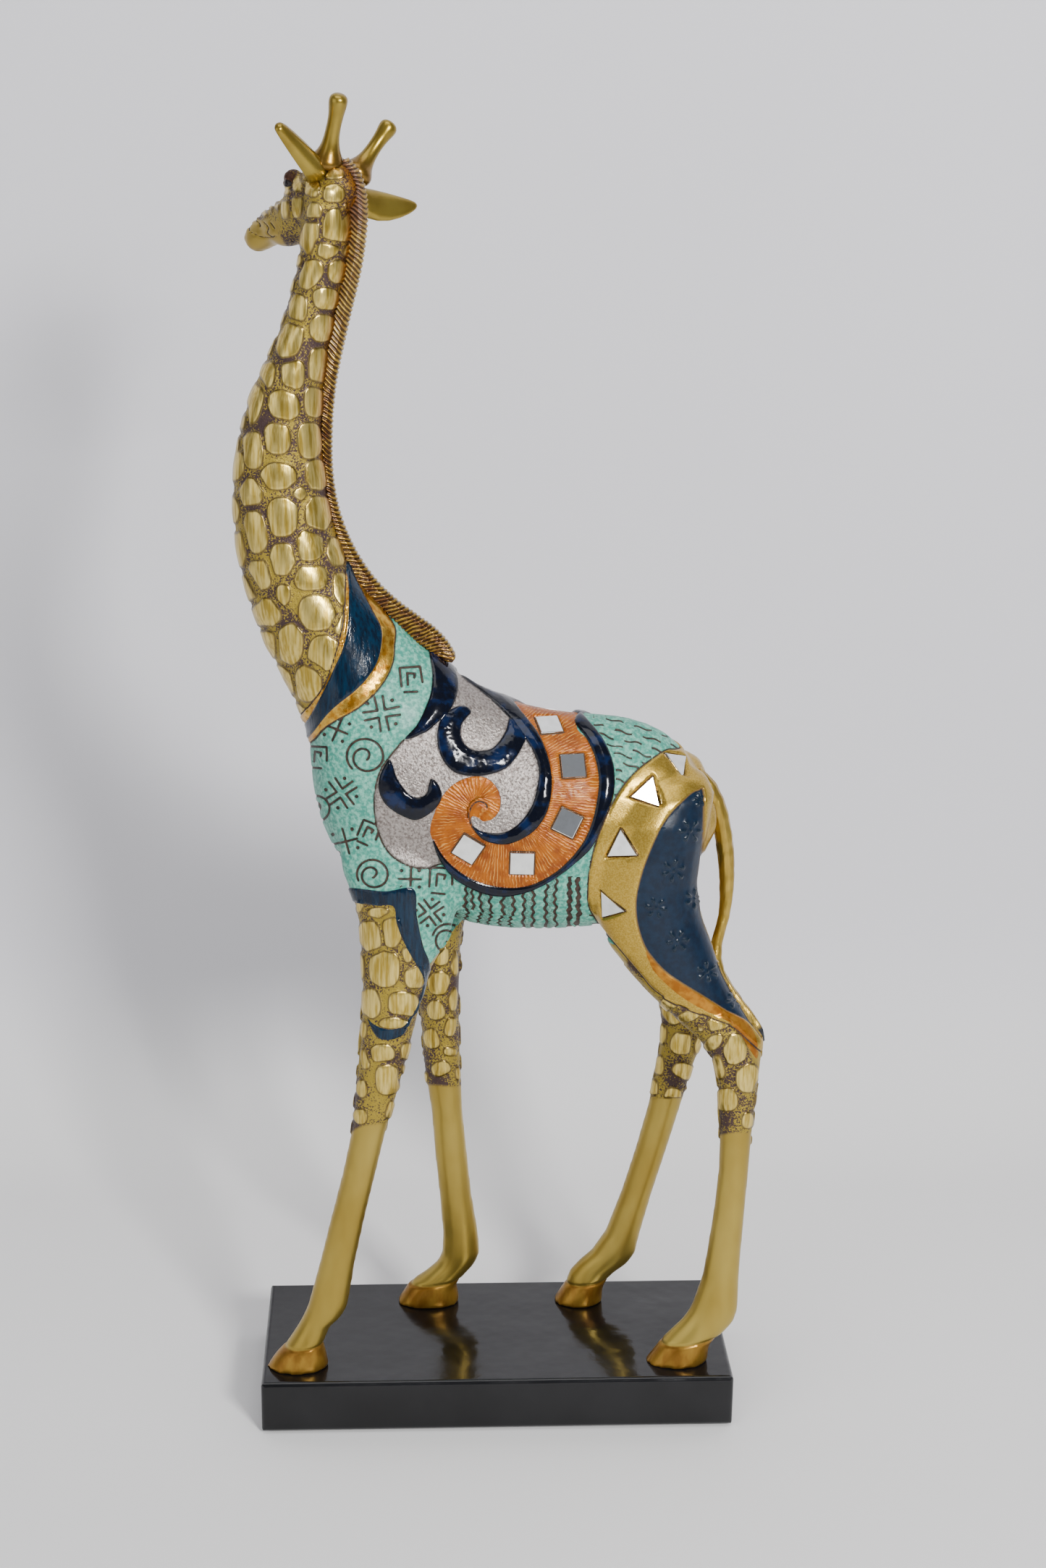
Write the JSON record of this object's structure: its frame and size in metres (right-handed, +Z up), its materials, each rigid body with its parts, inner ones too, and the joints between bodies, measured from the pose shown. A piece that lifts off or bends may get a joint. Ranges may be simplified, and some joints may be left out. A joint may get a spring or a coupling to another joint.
{
  "type": "giraffe statue",
  "caption": "Tall standing giraffe figure with a turned head, raised patches, scroll decoration and inset mirror tiles, on a rectangular black plinth.",
  "frame": {"origin": "centre of the underside, at the bottom of the felt pad", "axes": "+Z up through the height; the giraffe faces -X; its left side is -Y"},
  "size_m": [0.2162, 0.086, 0.5459],
  "materials": {
    "plinth": "high-gloss black lacquer on cast resin",
    "felt": "pressed felt",
    "painted_body": "painted resin: turquoise with white dry brushing, silver stipple, orange spiral, dark blue gloss scrolls, satin gold haunch",
    "spotted_gold": "painted resin: raised satin gold patches on a mauve-brown stippled ground",
    "leg_gold": "satin olive-gold metallic paint, patches above the knee",
    "horn_gold": "glossy gold metallic paint with amber shading",
    "mane_bronze": "amber-bronze metallic paint, glossy",
    "tail_gold": "satin gold metallic paint, black tuft",
    "steel_pin": "plain steel rod",
    "mirror_tile": "silvered glass tile with cut edges"
  },
  "bodies": {
    "root": {"base_plinth": "plinth", "base_felt": "felt", "torso": "painted_body", "neck": "spotted_gold", "head": "spotted_gold", "front_left_leg": "leg_gold", "front_right_leg": "leg_gold", "rear_left_leg": "leg_gold", "rear_right_leg": "leg_gold", "left_horn": "horn_gold", "right_horn": "horn_gold", "left_ear": "horn_gold", "right_ear": "horn_gold", "mane": "mane_bronze", "tail": "tail_gold", "front_left_pin": "steel_pin", "front_right_pin": "steel_pin", "rear_left_pin": "steel_pin", "rear_right_pin": "steel_pin", "neck_pin": "steel_pin", "head_pin": "steel_pin", "left_square_mirror_1": "mirror_tile", "left_square_mirror_2": "mirror_tile", "left_square_mirror_3": "mirror_tile", "left_square_mirror_4": "mirror_tile", "left_square_mirror_5": "mirror_tile", "right_square_mirror_1": "mirror_tile", "right_square_mirror_2": "mirror_tile", "right_square_mirror_3": "mirror_tile", "right_square_mirror_4": "mirror_tile", "right_square_mirror_5": "mirror_tile", "left_triangle_mirror_1": "mirror_tile", "left_triangle_mirror_2": "mirror_tile", "left_triangle_mirror_3": "mirror_tile", "left_triangle_mirror_4": "mirror_tile", "right_triangle_mirror_1": "mirror_tile", "right_triangle_mirror_2": "mirror_tile", "right_triangle_mirror_3": "mirror_tile", "right_triangle_mirror_4": "mirror_tile"}
  },
  "joints": []
}
